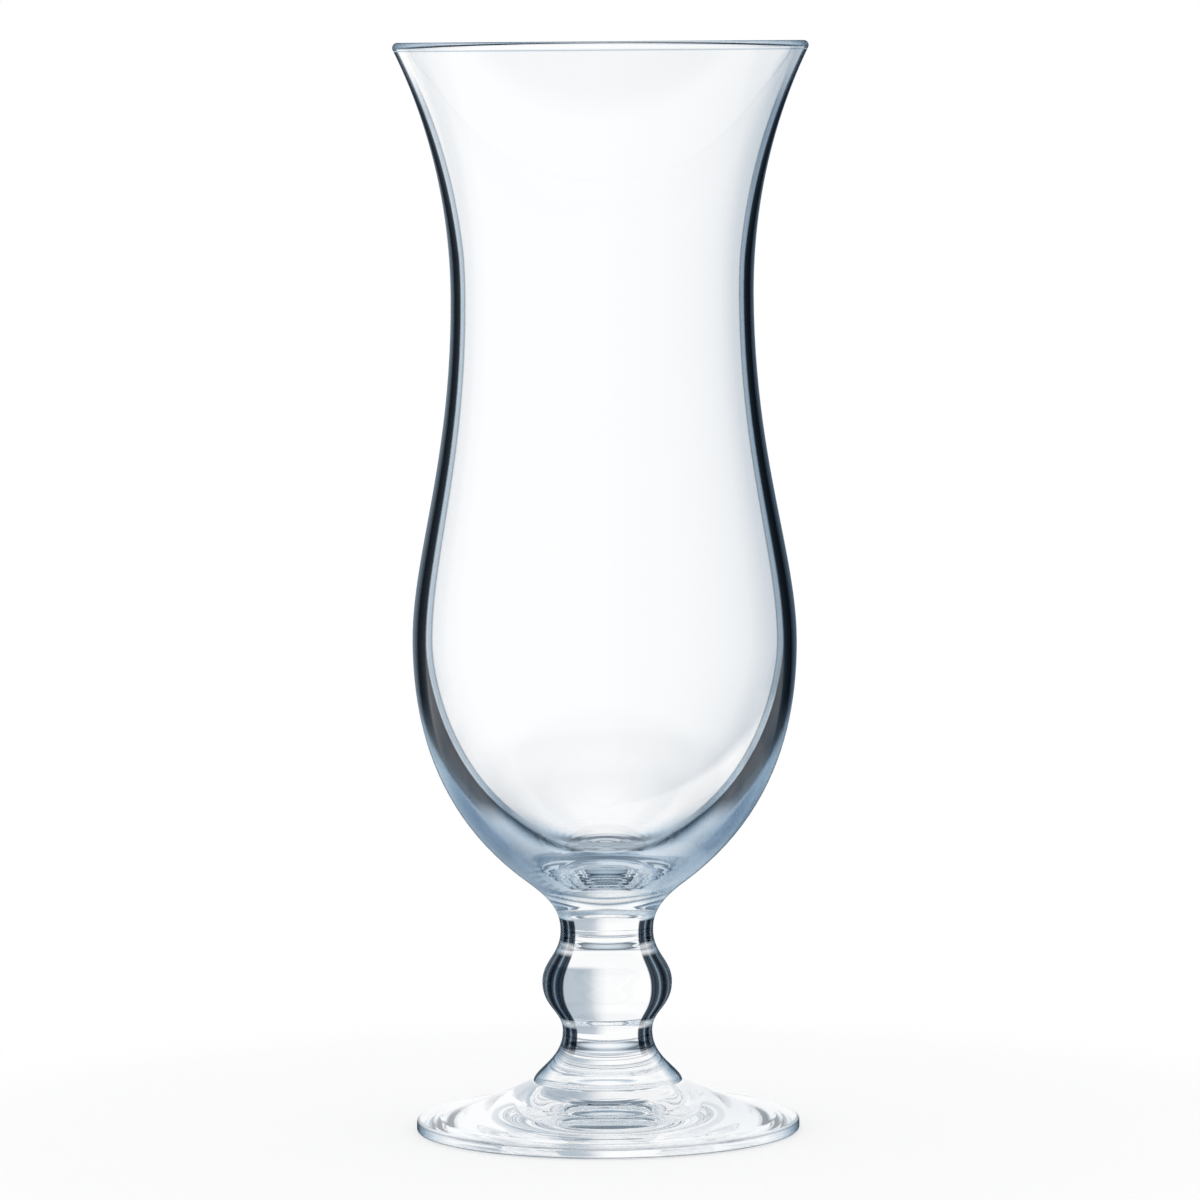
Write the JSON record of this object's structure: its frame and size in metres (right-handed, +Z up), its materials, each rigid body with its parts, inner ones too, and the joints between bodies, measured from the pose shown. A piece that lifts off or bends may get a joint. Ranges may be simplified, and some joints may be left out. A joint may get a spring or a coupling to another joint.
{
  "type": "hurricane glass",
  "caption": "Tall footed cocktail glass with a flared mouth, narrow waist, full belly, short knopped stem and round foot, for long iced drinks.",
  "frame": {"origin": "middle of the flat ring under the foot, on the surface that the glass stands on", "axes": "+Z up along the axis of revolution, from the foot to the rim; X and Y are free, because the glass is round"},
  "size_m": [0.0778, 0.0778, 0.205],
  "materials": {
    "clear_glass": "clear, fire-polished, with a faint blue-grey cast where it is thick"
  },
  "bodies": {
    "root": {"bowl": "clear_glass", "stem": "clear_glass", "foot": "clear_glass"}
  },
  "joints": []
}
